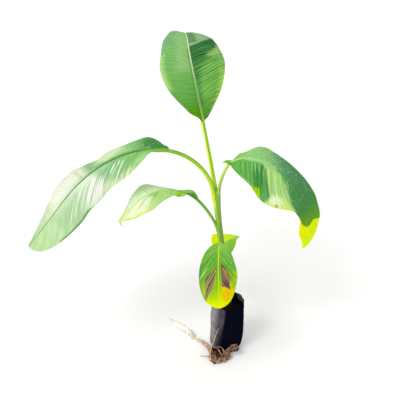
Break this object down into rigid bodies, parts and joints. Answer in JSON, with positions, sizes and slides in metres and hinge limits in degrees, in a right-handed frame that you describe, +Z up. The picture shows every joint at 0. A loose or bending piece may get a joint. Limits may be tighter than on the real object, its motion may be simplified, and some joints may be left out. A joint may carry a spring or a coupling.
{
  "type": "potted banana plant",
  "caption": "Young banana plant in a filled black nursery bag, with arching broad leaves on grooved stalks and roots grown out at the foot of the bag.",
  "frame": {"origin": "centre of the bag's flat underside, which stands on the floor", "axes": "+Z up, +X to the plant's right as seen from its front, -Y to the front"},
  "size_m": [0.6461, 0.3807, 0.7601],
  "materials": {
    "bag_plastic": "black polythene film, dusty grey on its left front",
    "soil": "dark crumbly potting soil",
    "stem": "smooth yellow-green leaf sheaths and stalks",
    "leaf": "satin green leaf with fine side veins and a pale midrib",
    "leaf_pale": "pale cream-green leaf with yellow-green margins",
    "leaf_old": "ageing leaf, green turning lime and yellow with brown patches",
    "root": "matted brown roots",
    "root_pale": "thin cream and tan roots"
  },
  "bodies": {
    "root": {"bag": "bag_plastic", "potting_soil": "soil", "pseudostem": "stem", "petiole_top": "stem", "petiole_left": "stem", "petiole_right": "stem", "petiole_left_low": "stem", "petiole_front": "stem", "petiole_back": "stem", "blade_top": "leaf", "blade_left": "leaf", "blade_right": "leaf", "blade_left_low": "leaf_pale", "blade_front": "leaf_old", "blade_back": "leaf_old", "root_knot": "root", "root_hook": "root", "root_climbing": "root_pale", "root_trailing": "root_pale", "root_whisker": "root_pale"}
  },
  "joints": []
}
